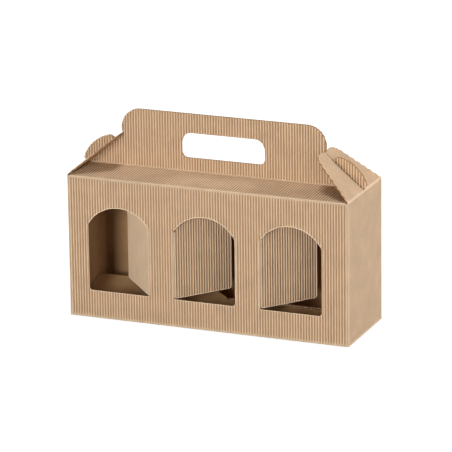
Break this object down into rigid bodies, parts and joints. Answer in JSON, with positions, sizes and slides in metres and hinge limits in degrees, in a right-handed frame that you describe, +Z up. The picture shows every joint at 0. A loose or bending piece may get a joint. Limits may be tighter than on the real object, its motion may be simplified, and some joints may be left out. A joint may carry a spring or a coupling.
{
  "type": "jar carrier box",
  "caption": "Long gable carrier box of fluted kraft card with arched front windows, dividers folded in from them, locking end flaps and an upright handle with a hand hole.",
  "frame": {"origin": "centre of the footprint, on the surface that the box stands on", "axes": "+X along the length to the right end, +Y from the windowed front to the back, +Z up"},
  "size_m": [0.2732, 0.0862, 0.188],
  "materials": {
    "fluted_card": "matt natural kraft, open flutes outside and smooth liner inside"
  },
  "bodies": {
    "carton": {"carton": "fluted_card"},
    "left_end_flap": {"left_end_flap": "fluted_card"},
    "right_end_flap": {"right_end_flap": "fluted_card"},
    "left_window_flap": {"left_window_flap": "fluted_card"},
    "middle_window_flap": {"middle_window_flap": "fluted_card"},
    "right_window_flap": {"right_window_flap": "fluted_card"}
  },
  "joints": [
    {"name": "left_end_flap_fold", "type": "hinge", "parent": "carton", "child": "left_end_flap", "pos_m": [-0.13435, 0, 0.133], "axis": [0, -1, 0], "range_deg": [0, 139]},
    {"name": "right_end_flap_fold", "type": "hinge", "parent": "carton", "child": "right_end_flap", "pos_m": [0.13435, 0, 0.133], "axis": [0, 1, 0], "range_deg": [0, 139]},
    {"name": "left_window_flap_fold", "type": "hinge", "parent": "carton", "child": "left_window_flap", "pos_m": [-0.05555, -0.0417, 0.066], "axis": [0, 0, -1], "range_deg": [-48, 42]},
    {"name": "middle_window_flap_fold", "type": "hinge", "parent": "carton", "child": "middle_window_flap", "pos_m": [-0.03255, -0.0417, 0.066], "axis": [0, 0, 1], "range_deg": [-52, 38]},
    {"name": "right_window_flap_fold", "type": "hinge", "parent": "carton", "child": "right_window_flap", "pos_m": [0.04995, -0.0417, 0.066], "axis": [0, 0, 1], "range_deg": [-52, 38]}
  ]
}
